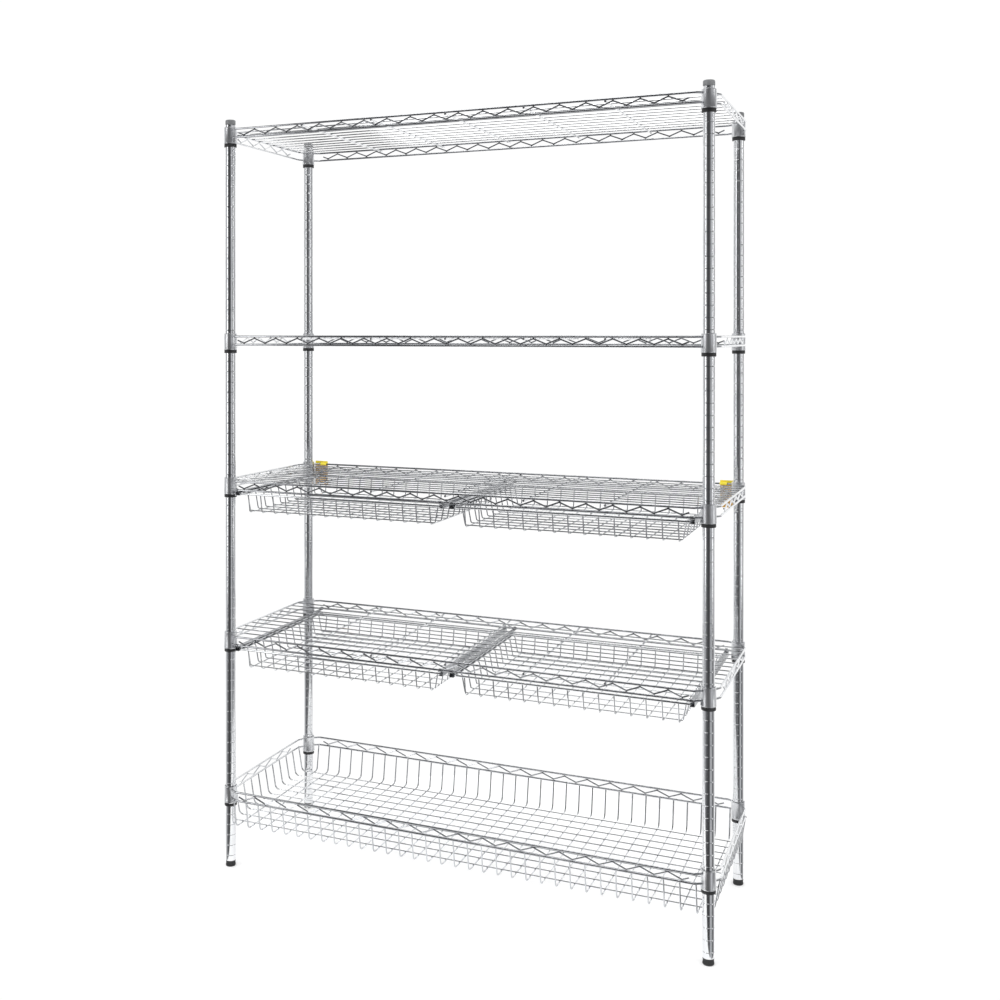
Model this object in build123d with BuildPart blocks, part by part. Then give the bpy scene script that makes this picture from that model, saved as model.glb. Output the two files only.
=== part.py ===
from build123d import *
import os

# A five-level chrome wire rack on four grooved posts.  Four levels are wire
# shelves, two of which also carry a pair of pull-out baskets in channel
# runners, and the lowest level is one shallow basket as wide as the rack.
# Origin: the floor, under the middle of the four posts.  +X is to the right of
# a person who faces the rack, +Y is to the back and +Z is up.  Millimetres.

# ---- driving dimensions ----
GROOVE_PITCH = 25.4
POST_SPACING_X = 1166.0
POST_SPACING_Y = 400.0
POST_RADIUS = 12.7
POST_WALL = 1.2
POST_TOP = 1830.0
FIRST_GROOVE = 28.0
GROOVE_COUNT = 71
GROOVE_DEPTH = 0.6
GROOVE_HALF_WIDTH = 1.1
CAP_HEIGHT = 13.0

# each level is named, with the groove that its split sleeves lock in
LEVEL_GROOVES = {"top": 70, "upper": 50, "middle": 36, "lower": 21, "bottom": 6}
SHELF_LEVELS = ("top", "upper", "middle", "lower")
PULL_OUT_LEVELS = ("middle", "lower")

# heights above the lower edge of a sleeve
SLEEVE_HEIGHT = 44.0
SLEEVE_BEAD_AT = 30.7
COLLAR_BOTTOM = 8.2
COLLAR_TOP = 48.5
EDGE_TOP = 41.0
EDGE_BOTTOM = 20.6

# split sleeves and collars
SLEEVE_RIM_RADIUS = 15.3
SLEEVE_FOOT_RADIUS = 14.9
SLEEVE_HEAD_RADIUS = 14.0
SLEEVE_CLEARANCE = 0.05
SLEEVE_SPLIT = 1.0
COLLAR_FOOT_RADIUS = 16.6
COLLAR_HEAD_RADIUS = 15.8

# wires
EDGE_RADIUS = 2.5
LACING_RADIUS = 1.9
DECK_RADIUS = 1.6
BASKET_WIRE_RADIUS = 1.5
FLOOR_WIRE_RADIUS = 1.75
TOUCH_GAP = 0.05
WELD_SINK = 0.4

# the edge wires run outside the posts and bend in to the collars
EDGE_OFFSET = 20.0
EDGE_END_INSET = 26.0
EDGE_END_SLACK = 0.75
EDGE_BEND = 8.0
LACING_PITCH = 59.1
LACING_BEND = 3.0
LACING_BAYS_LONG = 9
LACING_BAYS_SHORT = 2
LACING_TAIL = 0.5

# decks
DECK_PITCH = 35.0
DECK_COUNT = 11
DECK_END_GAP = 0.6
CROSS_WIRE_X = (-369.0, -186.0, 0.0, 186.0, 369.0)
CROSS_WIRE_OVERHANG = 6.0

# pull-out baskets
BASKET_CENTRE_X = 283.0
BASKET_CENTRE_Y = -10.0
BASKET_RIM_X = 538.0
BASKET_RIM_Y = 410.0
BASKET_RIM_DROP = 9.5
BASKET_DEPTH = 45.0
BASKET_LEDGE = 15.0
BASKET_LEAN = 8.0
BASKET_FRONT_BEND = 7.2
BASKET_FRONT_FOOT = 8.0
BASKET_SIDE_BEND = 4.4
BASKET_SIDE_FOOT = 4.0
BASKET_CROSS_PITCH = 34.3
BASKET_CROSS_COUNT = 15
BASKET_LONG_PITCH = 37.0
BASKET_LONG_COUNT = 11
JOINT_GAP = 0.02

# channel runners
RUNNER_HEIGHT = 11.0
RUNNER_FLANGE = 10.2
RUNNER_THICKNESS = 1.2
RUNNER_SIDE_PLAY = 2.2
HOOK_WIDTH = 6.0
HOOK_GAP = 0.3

# fixed basket of the bottom level
FLOOR_DEPTH = 68.0
FLOOR_LEAN = 11.0
FLOOR_BEND = 12.0
FLOOR_FOOT = 12.0
FLOOR_CROSS_PITCH = 34.0
FLOOR_CROSS_COUNT = 34
FLOOR_LONG_PITCH = 36.0
FLOOR_LONG_COUNT = 11

# levelling feet and their plugs
FOOT_HEIGHT = 14.0
FOOT_GAP = 0.3
FOOT_RADIUS = 12.3
FOOT_EDGE = 1.5
STUD_RADIUS = 4.0
STUD_LENGTH = 32.0
STUD_CLEARANCE = 0.05
PLUG_HEIGHT = 20.0
PLUG_FIT = 0.05

# label holders
TAG_LEVEL = "middle"
TAG_WIDTH = 38.0
TAG_CENTRE_X = 555.0
TAG_BOTTOM = -16.7
TAG_TOP = 49.0
TAG_THICKNESS = 1.6
TAG_HOOK_RADIUS = 4.4
TAG_HOOK_WIDTH = 17.0
TAG_HOOK_CENTRE_X = 545.0

# ---- sizes worked out from the driving ones ----
HALF_X = POST_SPACING_X / 2
HALF_Y = POST_SPACING_Y / 2
EDGE_X = HALF_X + EDGE_OFFSET
EDGE_Y = HALF_Y + EDGE_OFFSET
POST_FOOT = FOOT_HEIGHT + FOOT_GAP
BORE_RADIUS = POST_RADIUS - POST_WALL
CORNERS = {
    "front_left": (-HALF_X, -HALF_Y),
    "front_right": (HALF_X, -HALF_Y),
    "rear_left": (-HALF_X, HALF_Y),
    "rear_right": (HALF_X, HALF_Y),
}
LEVEL_Z = {
    level: FIRST_GROOVE + GROOVE_PITCH * groove - SLEEVE_BEAD_AT
    for level, groove in LEVEL_GROOVES.items()
}


# ---- helpers ----
def save(part, name):
    """Label a finished piece and write its own STEP file."""
    part.label = name
    export_step(part, f"parts/{name}.step", write_pcurves=False)


def raised(part, height):
    """A copy of a piece, lifted by a height."""
    return part.moved(Location((0, 0, height)))


def turned(part):
    """A copy of a piece, turned from the front of the rack to its right side."""
    return part.rotate(Axis.Z, 90)


def mirrored(part, plane):
    """The mirror image of a piece."""
    with BuildPart() as image:
        add(part)
        mirror(about=plane, mode=Mode.REPLACE)
    return image.part


def at_corners(part):
    """One copy of a piece at each of the four posts, as a group of solids."""
    with BuildPart() as group:
        with Locations(*CORNERS.values()):
            add(part)
    return group.part


def rod(points, radius, bend=0.0):
    """A round wire along straight runs, with a rounded bend at each corner."""
    with BuildPart() as wire:
        with BuildLine() as path:
            FilletPolyline(*points, radius=bend)
        with BuildSketch(Plane(origin=path.line @ 0, z_dir=path.line % 0)):
            Circle(radius)
        sweep(path=path.line)
    return wire.part


def ring_of(outline):
    """A turned piece: its outline is given as (radius, height) and closed."""
    with BuildPart() as turned_piece:
        with BuildSketch(Plane.XZ):
            with BuildLine():
                Polyline(*outline, close=True)
            make_face()
        revolve(axis=Axis.Z)
    return turned_piece.part


# ---- posts, caps, plugs and levelling feet ----
def grooved_post():
    """A thin tube with a shallow ring groove at every step of the pitch."""
    outline = [(BORE_RADIUS, POST_FOOT), (POST_RADIUS, POST_FOOT)]
    for index in range(GROOVE_COUNT):
        middle = FIRST_GROOVE + index * GROOVE_PITCH
        outline.append((POST_RADIUS, middle - GROOVE_HALF_WIDTH))
        outline.append((POST_RADIUS - GROOVE_DEPTH, middle))
        outline.append((POST_RADIUS, middle + GROOVE_HALF_WIDTH))
    outline += [(POST_RADIUS, POST_TOP), (BORE_RADIUS, POST_TOP)]
    return ring_of(outline)


def post_cap():
    """A cap as wide as the post, with a plug that fills the end of the bore."""
    plug_depth = 15.0
    crown = 2.0
    lip = 0.6
    with BuildPart() as cap:
        with BuildSketch(Plane.XY.offset(POST_TOP + TOUCH_GAP)):
            Circle(POST_RADIUS)
        extrude(amount=CAP_HEIGHT - TOUCH_GAP)
        fillet(cap.faces().sort_by(Axis.Z)[-1].edges(), radius=crown)
        chamfer(cap.faces().sort_by(Axis.Z)[0].edges(), length=lip)
        with BuildSketch(Plane.XY.offset(POST_TOP - plug_depth)):
            Circle(BORE_RADIUS - PLUG_FIT)
        extrude(amount=plug_depth + lip)
    return cap.part


def threaded_plug():
    """The plug in the foot of a post, which the levelling stud screws into."""
    with BuildPart() as plug:
        with BuildSketch(Plane.XY.offset(POST_FOOT)):
            Circle(BORE_RADIUS - PLUG_FIT)
            Circle(STUD_RADIUS + STUD_CLEARANCE, mode=Mode.SUBTRACT)
        extrude(amount=PLUG_HEIGHT)
    return plug.part


def levelling_foot():
    """A round pad with a waist that a hand can grip, and the stud that stands on it."""
    waist_depth = 0.7
    waist_low = 4.5
    waist_high = 11.5
    with BuildPart() as foot:
        with BuildSketch(Plane.XY):
            Circle(FOOT_RADIUS)
        extrude(amount=FOOT_HEIGHT)
        fillet(foot.faces().sort_by(Axis.Z)[0].edges(), radius=FOOT_EDGE)
        with BuildSketch(Plane.XY.offset(waist_low)):
            Circle(2 * FOOT_RADIUS)
            Circle(FOOT_RADIUS - waist_depth, mode=Mode.SUBTRACT)
        extrude(amount=waist_high - waist_low, mode=Mode.SUBTRACT)
        with BuildSketch(Plane.XY.offset(FOOT_HEIGHT)):
            Circle(STUD_RADIUS)
        extrude(amount=STUD_LENGTH)
    return foot.part


# ---- split sleeves and collars ----
def sleeve_radius(height):
    """Outer radius of the sleeve's cone at a height above its lower edge."""
    share = (height - COLLAR_BOTTOM) / (SLEEVE_HEIGHT - COLLAR_BOTTOM)
    return SLEEVE_FOOT_RADIUS + share * (SLEEVE_HEAD_RADIUS - SLEEVE_FOOT_RADIUS)


def collar_radius(height):
    """Outer radius of the collar at a height above the sleeve's lower edge."""
    share = (height - COLLAR_BOTTOM) / (COLLAR_TOP - COLLAR_BOTTOM)
    return COLLAR_FOOT_RADIUS + share * (COLLAR_HEAD_RADIUS - COLLAR_FOOT_RADIUS)


def split_sleeve():
    """Two half cones that clasp the post, with an inner bead that sits in a groove."""
    inner = POST_RADIUS + SLEEVE_CLEARANCE
    bead = GROOVE_DEPTH - 0.15
    rim_top = COLLAR_BOTTOM - TOUCH_GAP
    outline = [
        (inner, 0),
        (SLEEVE_RIM_RADIUS, 0),
        (SLEEVE_RIM_RADIUS, rim_top),
        (sleeve_radius(rim_top), rim_top),
        (SLEEVE_HEAD_RADIUS, SLEEVE_HEIGHT),
        (inner, SLEEVE_HEIGHT),
        (inner, SLEEVE_BEAD_AT + bead),
        (inner - bead, SLEEVE_BEAD_AT),
        (inner, SLEEVE_BEAD_AT - bead),
    ]
    with BuildPart() as sleeve:
        add(ring_of(outline))
        with Locations((0, 0, SLEEVE_HEIGHT / 2)):
            Box(4 * POST_RADIUS, SLEEVE_SPLIT, 2 * SLEEVE_HEIGHT, mode=Mode.SUBTRACT)
    return sleeve.part


def collar():
    """The tapered ring at a shelf's corner, which wedges down on the sleeve."""
    gap = SLEEVE_CLEARANCE
    edge = 0.6
    outline = [
        (sleeve_radius(COLLAR_BOTTOM) + gap, COLLAR_BOTTOM),
        (COLLAR_FOOT_RADIUS, COLLAR_BOTTOM),
        (COLLAR_HEAD_RADIUS, COLLAR_TOP),
        (sleeve_radius(COLLAR_TOP) + gap, COLLAR_TOP),
    ]
    with BuildPart() as ring:
        add(ring_of(outline))
        top_face = ring.faces().sort_by(Axis.Z)[-1]
        fillet(top_face.edges().sort_by(SortBy.LENGTH)[-1], radius=edge)
    return ring.part


# ---- edge frames: two edge wires with a zigzag between them ----
def edge_wire(half_length, offset, height):
    """One edge wire at the front: straight, with an end bent in to each collar."""
    reach = (collar_radius(height) + EDGE_END_SLACK) / 2**0.5
    turn = half_length - EDGE_END_INSET
    end = half_length - reach
    depth = offset - EDGE_OFFSET + reach
    points = [
        (-end, -depth, height),
        (-turn, -offset, height),
        (turn, -offset, height),
        (end, -depth, height),
    ]
    return rod(points, EDGE_RADIUS, EDGE_BEND)


def lacing_wire(bays, offset):
    """The zigzag between two edge wires, with a short free tail at each end."""
    reach = EDGE_RADIUS + LACING_RADIUS + TOUCH_GAP
    low = EDGE_BOTTOM + reach
    high = EDGE_TOP - reach
    half = LACING_PITCH / 2
    outer = bays * LACING_PITCH
    tail = LACING_TAIL * half
    tail_height = low + LACING_TAIL * (high - low)
    points = [(-outer - tail, -offset, tail_height)]
    for step in range(4 * bays + 1):
        height = low if step % 2 == 0 else high
        points.append((-outer + step * half, -offset, height))
    points.append((outer + tail, -offset, tail_height))
    return rod(points, LACING_RADIUS, LACING_BEND)


def edge_frame(half_length, offset, bays):
    """One side of a level, seen from the front: upper wire, lower wire and zigzag."""
    with BuildPart() as frame:
        for height in (EDGE_TOP, EDGE_BOTTOM):
            add(edge_wire(half_length, offset, height))
        add(lacing_wire(bays, offset))
    return frame.part


def hanging_wires(frame, offset, floor_z, count, pitch):
    """An edge frame of the bottom level, with the upright wires of the fixed basket."""
    route = [
        (0, -offset, EDGE_BOTTOM),
        (0, -offset + FLOOR_LEAN, floor_z),
        (0, -offset + FLOOR_LEAN + FLOOR_FOOT - JOINT_GAP, floor_z),
    ]
    upright = rod(route, FLOOR_WIRE_RADIUS, FLOOR_BEND)
    with BuildPart() as wall:
        add(frame)
        with GridLocations(pitch, 0, count, 1):
            add(upright)
    return wall.part


# ---- wire grids ----
def wire_grid(crosses, longs, cross_length, long_length, wire_radii):
    """A flat grid: cross wires below, long wires on top of them.

    The two outermost cross wires are welded to every long wire, and the middle
    long wire to every cross wire, so that the grid is one piece.
    """
    cross_radius, long_radius = wire_radii
    rise = cross_radius + long_radius + TOUCH_GAP
    middle = longs[len(longs) // 2]
    low_crosses = [(x, 0, 0) for x in crosses[1:-1]]
    high_crosses = [(x, 0, WELD_SINK) for x in (crosses[0], crosses[-1])]
    with BuildPart() as grid:
        with Locations(*low_crosses, *high_crosses):
            Cylinder(cross_radius, cross_length, rotation=(90, 0, 0))
        with Locations(*[(0, y, rise) for y in longs if y != middle]):
            Cylinder(long_radius, long_length, rotation=(0, 90, 0))
        with Locations((0, middle, rise - WELD_SINK)):
            Cylinder(long_radius, long_length, rotation=(0, 90, 0))
    return grid.part


def row(count, pitch):
    """Evenly spaced places, centred on zero."""
    return [(index - (count - 1) / 2) * pitch for index in range(count)]


def deck():
    """Long deck wires welded on cross wires that hang under the upper edge wires."""
    cross_z = EDGE_TOP - 2 * EDGE_RADIUS - TOUCH_GAP - WELD_SINK
    cross_length = 2 * (EDGE_Y + CROSS_WIRE_OVERHANG)
    deck_length = 2 * (EDGE_X - EDGE_RADIUS - DECK_END_GAP)
    longs = row(DECK_COUNT, DECK_PITCH)
    radii = (EDGE_RADIUS, DECK_RADIUS)
    return raised(wire_grid(CROSS_WIRE_X, longs, cross_length, deck_length, radii), cross_z)


# ---- baskets ----
def rim_wall(rim_y, rim_length, route, bend, count, pitch):
    """A rim rod with a row of upright wires hanging from it, seen from the front."""
    upright = rod(route, BASKET_WIRE_RADIUS, bend)
    with BuildPart() as panel:
        with Locations((0, -rim_y, 0)):
            Cylinder(EDGE_RADIUS, rim_length, rotation=(0, 90, 0))
        with GridLocations(pitch, 0, count, 1):
            add(upright)
    return panel.part


def basket_front():
    """Front wall of a pull-out basket, in the basket's own frame."""
    rim_y = BASKET_RIM_Y / 2
    foot_y = -rim_y + BASKET_LEAN + BASKET_FRONT_FOOT - JOINT_GAP
    route = [
        (0, -rim_y, 0),
        (0, -rim_y + BASKET_LEAN, -BASKET_DEPTH),
        (0, foot_y, -BASKET_DEPTH),
    ]
    rim_length = BASKET_RIM_X + 2 * EDGE_RADIUS
    count, pitch = BASKET_CROSS_COUNT, BASKET_CROSS_PITCH
    return rim_wall(rim_y, rim_length, route, BASKET_FRONT_BEND, count, pitch)


def basket_side():
    """Right wall of a pull-out basket, with the ledge that rides in the runner."""
    rim_x = BASKET_RIM_X / 2
    ledge_x = rim_x - BASKET_LEDGE
    floor_z = -BASKET_DEPTH + 2 * BASKET_WIRE_RADIUS + TOUCH_GAP
    foot_x = ledge_x - BASKET_LEAN - BASKET_SIDE_FOOT + JOINT_GAP
    route = [
        (0, -rim_x, 0),
        (0, -ledge_x, 0),
        (0, -ledge_x + BASKET_LEAN, floor_z),
        (0, -foot_x, floor_z),
    ]
    rim_length = BASKET_RIM_Y - 2 * EDGE_RADIUS - 2 * JOINT_GAP
    count, pitch = BASKET_LONG_COUNT, BASKET_LONG_PITCH
    return turned(rim_wall(rim_x, rim_length, route, BASKET_SIDE_BEND, count, pitch))


def basket_floor():
    """Floor of a pull-out basket, in the basket's own frame."""
    cross_length = BASKET_RIM_Y - 2 * (BASKET_LEAN + BASKET_FRONT_FOOT)
    long_length = BASKET_RIM_X - 2 * (BASKET_LEDGE + BASKET_LEAN + BASKET_SIDE_FOOT)
    crosses = row(BASKET_CROSS_COUNT, BASKET_CROSS_PITCH)
    longs = row(BASKET_LONG_COUNT, BASKET_LONG_PITCH)
    radii = (BASKET_WIRE_RADIUS, BASKET_WIRE_RADIUS)
    return wire_grid(crosses, longs, cross_length, long_length, radii)


def pull_out_basket():
    """A whole basket: rim and walls on four sides, and the floor between them."""
    front = basket_front()
    side = basket_side()
    with BuildPart() as basket:
        add(front)
        add(mirrored(front, Plane.XZ))
        add(side)
        add(mirrored(side, Plane.YZ))
        add(raised(basket_floor(), -BASKET_DEPTH))
    return basket.part


def bottom_floor():
    """Floor of the bottom level's fixed basket."""
    inset = FLOOR_LEAN + FLOOR_FOOT
    crosses = row(FLOOR_CROSS_COUNT, FLOOR_CROSS_PITCH)
    longs = row(FLOOR_LONG_COUNT, FLOOR_LONG_PITCH)
    radii = (FLOOR_WIRE_RADIUS, FLOOR_WIRE_RADIUS)
    return wire_grid(crosses, longs, 2 * (EDGE_Y - inset), 2 * (EDGE_X - inset), radii)


# ---- channel runners ----
def hook_outline(side):
    """Side view of the hook that a runner's end makes over a lower edge wire."""
    inner = EDGE_RADIUS + HOOK_GAP
    outer = inner + RUNNER_THICKNESS
    lead = 2.0
    plane = Plane(origin=(0, side * EDGE_Y, BASKET_RIM_DROP), x_dir=(0, 1, 0), z_dir=(1, 0, 0))
    with BuildSketch(plane) as hook:
        Circle(outer)
        Circle(inner, mode=Mode.SUBTRACT)
        with Locations((-side * (outer + lead), 0)):
            Rectangle(2 * outer, 2 * outer, mode=Mode.SUBTRACT)
    return hook.sketch


def runner():
    """A channel open towards +X, with a hook at each end over a lower edge wire.

    Its own frame has the side rod of the basket's rim along the Y axis.
    """
    web_outer = -EDGE_RADIUS - RUNNER_SIDE_PLAY - RUNNER_THICKNESS
    top = BASKET_RIM_DROP - EDGE_RADIUS - TOUCH_GAP
    bottom = top - RUNNER_HEIGHT
    length = 2 * EDGE_Y
    low_corner = (Align.MIN, Align.CENTER, Align.MIN)
    with BuildPart() as channel:
        with Locations((web_outer, 0, bottom)):
            Box(RUNNER_THICKNESS, length, RUNNER_HEIGHT, align=low_corner)
        with Locations((web_outer, 0, bottom), (web_outer, 0, top - RUNNER_THICKNESS)):
            Box(RUNNER_FLANGE, length, RUNNER_THICKNESS, align=low_corner)
        for side in (-1, 1):
            extrude(hook_outline(side), amount=HOOK_WIDTH / 2, both=True)
    return channel.part


def runner_pair():
    """The left and right runner of one basket, in the basket's own frame."""
    left = runner().moved(Location((-BASKET_RIM_X / 2, 0, 0)))
    with BuildPart() as pair:
        add(left)
        add(mirrored(left, Plane.YZ))
    return pair.part


# ---- label holders ----
def label_holder():
    """A plastic label plate with a loose hook on the rear upper edge wire, right side."""
    outer = TAG_HOOK_RADIUS + TAG_THICKNESS
    sag = TAG_HOOK_RADIUS - EDGE_RADIUS - TOUCH_GAP
    centre = (TAG_HOOK_CENTRE_X, EDGE_Y, EDGE_TOP - sag)
    with BuildPart() as holder:
        with BuildSketch(Plane.XZ.offset(-EDGE_Y - TAG_HOOK_RADIUS)):
            with Locations((TAG_CENTRE_X, (TAG_TOP + TAG_BOTTOM) / 2)):
                RectangleRounded(TAG_WIDTH, TAG_TOP - TAG_BOTTOM, 2.0)
        extrude(amount=-TAG_THICKNESS)
        with BuildSketch(Plane(origin=centre, x_dir=(0, 1, 0), z_dir=(1, 0, 0))):
            Circle(outer)
            Circle(TAG_HOOK_RADIUS, mode=Mode.SUBTRACT)
            with Locations((0, -outer)):
                Rectangle(2 * outer, 2 * outer, mode=Mode.SUBTRACT)
        extrude(amount=TAG_HOOK_WIDTH / 2, both=True)
    return holder.part


# ---- all the pieces ----
os.makedirs("parts", exist_ok=True)

post = grooved_post()
foot = levelling_foot()
for corner, (x, y) in CORNERS.items():
    save(post.moved(Location((x, y, 0))), f"post_{corner}")
    save(foot.moved(Location((x, y, 0))), f"foot_{corner}")
save(at_corners(post_cap()), "post_caps")
save(at_corners(threaded_plug()), "foot_plugs")

# each side of a level is built once: the front and the right are drawn, and the
# rear and the left are their mirror images
front_frame = edge_frame(HALF_X, EDGE_Y, LACING_BAYS_LONG)
side_frame = edge_frame(HALF_Y, EDGE_X, LACING_BAYS_SHORT)
floor_z = EDGE_BOTTOM - FLOOR_DEPTH
long_wire_z = floor_z + 2 * FLOOR_WIRE_RADIUS + TOUCH_GAP
front_wall = hanging_wires(front_frame, EDGE_Y, floor_z, FLOOR_CROSS_COUNT, FLOOR_CROSS_PITCH)
side_wall = hanging_wires(side_frame, EDGE_X, long_wire_z, FLOOR_LONG_COUNT, FLOOR_LONG_PITCH)
sleeves = at_corners(split_sleeve())
collars = at_corners(collar())
for level, level_z in LEVEL_Z.items():
    is_shelf = level in SHELF_LEVELS
    front = front_frame if is_shelf else front_wall
    right = turned(side_frame if is_shelf else side_wall)
    save(raised(sleeves, level_z), f"sleeves_{level}")
    save(raised(collars, level_z), f"collars_{level}")
    save(raised(front, level_z), f"frame_front_{level}")
    save(raised(mirrored(front, Plane.XZ), level_z), f"frame_rear_{level}")
    save(raised(right, level_z), f"frame_right_{level}")
    save(raised(mirrored(right, Plane.YZ), level_z), f"frame_left_{level}")

shelf_deck = deck()
for level in SHELF_LEVELS:
    save(raised(shelf_deck, LEVEL_Z[level]), f"deck_{level}")
save(raised(bottom_floor(), LEVEL_Z["bottom"] + floor_z), "basket_floor_bottom")

basket = pull_out_basket()
runners = runner_pair()
for level in PULL_OUT_LEVELS:
    rim_z = LEVEL_Z[level] + EDGE_BOTTOM - BASKET_RIM_DROP
    for side, centre_x in (("left", -BASKET_CENTRE_X), ("right", BASKET_CENTRE_X)):
        basket_place = Location((centre_x, BASKET_CENTRE_Y, rim_z))
        runner_place = Location((centre_x, 0, rim_z))
        save(basket.moved(basket_place), f"basket_{level}_{side}")
        save(runners.moved(runner_place), f"runners_{level}_{side}")

right_holder = raised(label_holder(), LEVEL_Z[TAG_LEVEL])
with BuildPart() as label_holders:
    add(right_holder)
    mirror(about=Plane.YZ)
save(label_holders.part, "label_holders")
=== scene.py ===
import logging
import math
from dataclasses import dataclass, field
from enum import Enum
from typing import Iterable, Sequence, Union

import bmesh
import bpy
from mathutils import Matrix, Vector


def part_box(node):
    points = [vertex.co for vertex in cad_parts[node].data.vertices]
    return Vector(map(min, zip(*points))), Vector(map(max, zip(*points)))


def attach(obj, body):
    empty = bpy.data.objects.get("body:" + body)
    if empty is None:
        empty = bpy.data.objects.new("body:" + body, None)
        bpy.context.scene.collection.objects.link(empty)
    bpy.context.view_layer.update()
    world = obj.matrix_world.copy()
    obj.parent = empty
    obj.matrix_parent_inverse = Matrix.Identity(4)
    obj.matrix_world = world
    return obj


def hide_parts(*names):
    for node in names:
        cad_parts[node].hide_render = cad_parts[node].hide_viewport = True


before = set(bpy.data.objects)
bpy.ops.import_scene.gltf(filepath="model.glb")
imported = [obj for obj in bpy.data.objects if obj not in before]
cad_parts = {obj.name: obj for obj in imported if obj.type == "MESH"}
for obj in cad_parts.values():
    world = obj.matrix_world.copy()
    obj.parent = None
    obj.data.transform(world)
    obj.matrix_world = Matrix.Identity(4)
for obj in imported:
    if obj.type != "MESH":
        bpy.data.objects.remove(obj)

LOG = logging.getLogger("rack")
Point = tuple[float, float, float]
Colour = tuple[float, float, float, float]
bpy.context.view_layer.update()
MM = 0.001


class Corner(Enum):
    """The four posts, each with the signs of its place."""

    FRONT_LEFT = ("front_left", -1, -1)
    FRONT_RIGHT = ("front_right", 1, -1)
    REAR_LEFT = ("rear_left", -1, 1)
    REAR_RIGHT = ("rear_right", 1, 1)

    @property
    def label(self) -> str:
        """The corner's name, as the bodies and nodes spell it."""
        return self.value[0]


class Level(Enum):
    """The five levels, from the floor up."""

    BOTTOM = "bottom"
    LOWER = "lower"
    MIDDLE = "middle"
    UPPER = "upper"
    TOP = "top"


# ---- shader building ----
class Wire:
    """A shader socket or number that Python operators can work on."""

    def __init__(self, tree: bpy.types.NodeTree, socket: Union[bpy.types.NodeSocket, float]) -> None:
        """Keep the tree and the socket that carries the value.

        Args:
            tree: the node tree that new maths nodes go in.
            socket: an output socket, or a plain number.
        """
        self.tree = tree
        self.socket = socket

    def _maths(self, operation: str, *others: Union["Wire", float]) -> "Wire":
        """Add one Math node.

        Args:
            operation: the node's operation.
            others: the further inputs, after this value.

        Returns:
            The node's result.
        """
        node = self.tree.nodes.new("ShaderNodeMath")
        node.operation = operation
        for index, value in enumerate((self, *others)):
            inner = value.socket if isinstance(value, Wire) else value
            if isinstance(inner, (int, float)):
                node.inputs[index].default_value = float(inner)
            else:
                self.tree.links.new(inner, node.inputs[index])
        return Wire(self.tree, node.outputs[0])

    def __add__(self, other: Union["Wire", float]) -> "Wire":
        """Sum.

        Args:
            other: what is added.

        Returns:
            The sum.
        """
        return self._maths("ADD", other)

    __radd__ = __add__

    def __mul__(self, other: Union["Wire", float]) -> "Wire":
        """Product.

        Args:
            other: what it is multiplied by.

        Returns:
            The product.
        """
        return self._maths("MULTIPLY", other)

    __rmul__ = __mul__


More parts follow.
